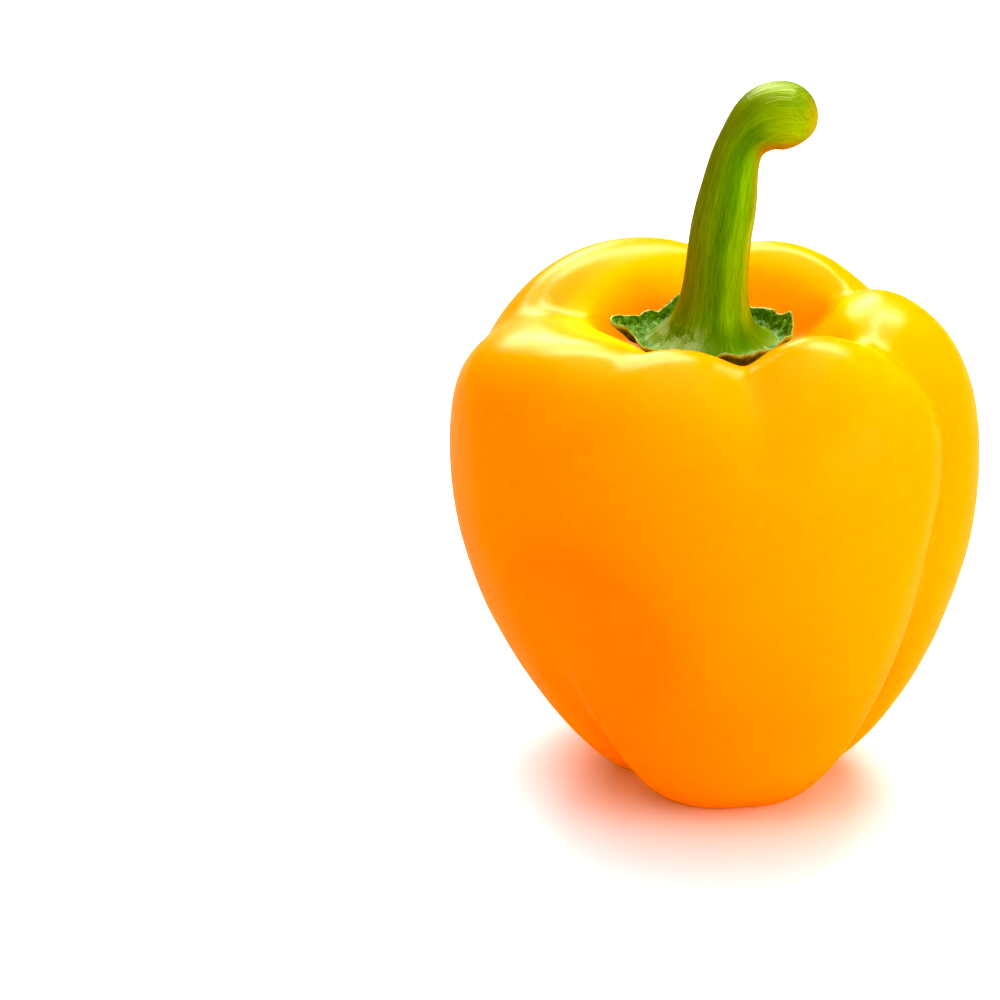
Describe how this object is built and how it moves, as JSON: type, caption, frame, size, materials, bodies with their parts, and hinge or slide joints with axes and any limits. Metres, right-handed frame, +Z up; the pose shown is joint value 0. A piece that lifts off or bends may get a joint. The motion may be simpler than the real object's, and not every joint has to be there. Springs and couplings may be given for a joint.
{
  "type": "bell pepper",
  "caption": "Ripe yellow bell pepper standing on its toes: lobed glossy fruit, green calyx and a ribbed stem bent over to a knob.",
  "frame": {"origin": "on the surface that the pepper stands on, under the middle of its box", "axes": "+Z up along the pepper's core towards the stem, -Y its front, +X the side that the stem's knob points to"},
  "size_m": [0.0854, 0.0851, 0.1171],
  "materials": {
    "ripe_skin": "smooth waxy skin, glossy, yellow to orange",
    "calyx_green": "creased leafy green with a pale dry edge",
    "stem_green": "fibrous fresh green, slightly waxy"
  },
  "bodies": {
    "root": {"fruit": "ripe_skin", "calyx": "calyx_green", "stem": "stem_green"}
  },
  "joints": []
}
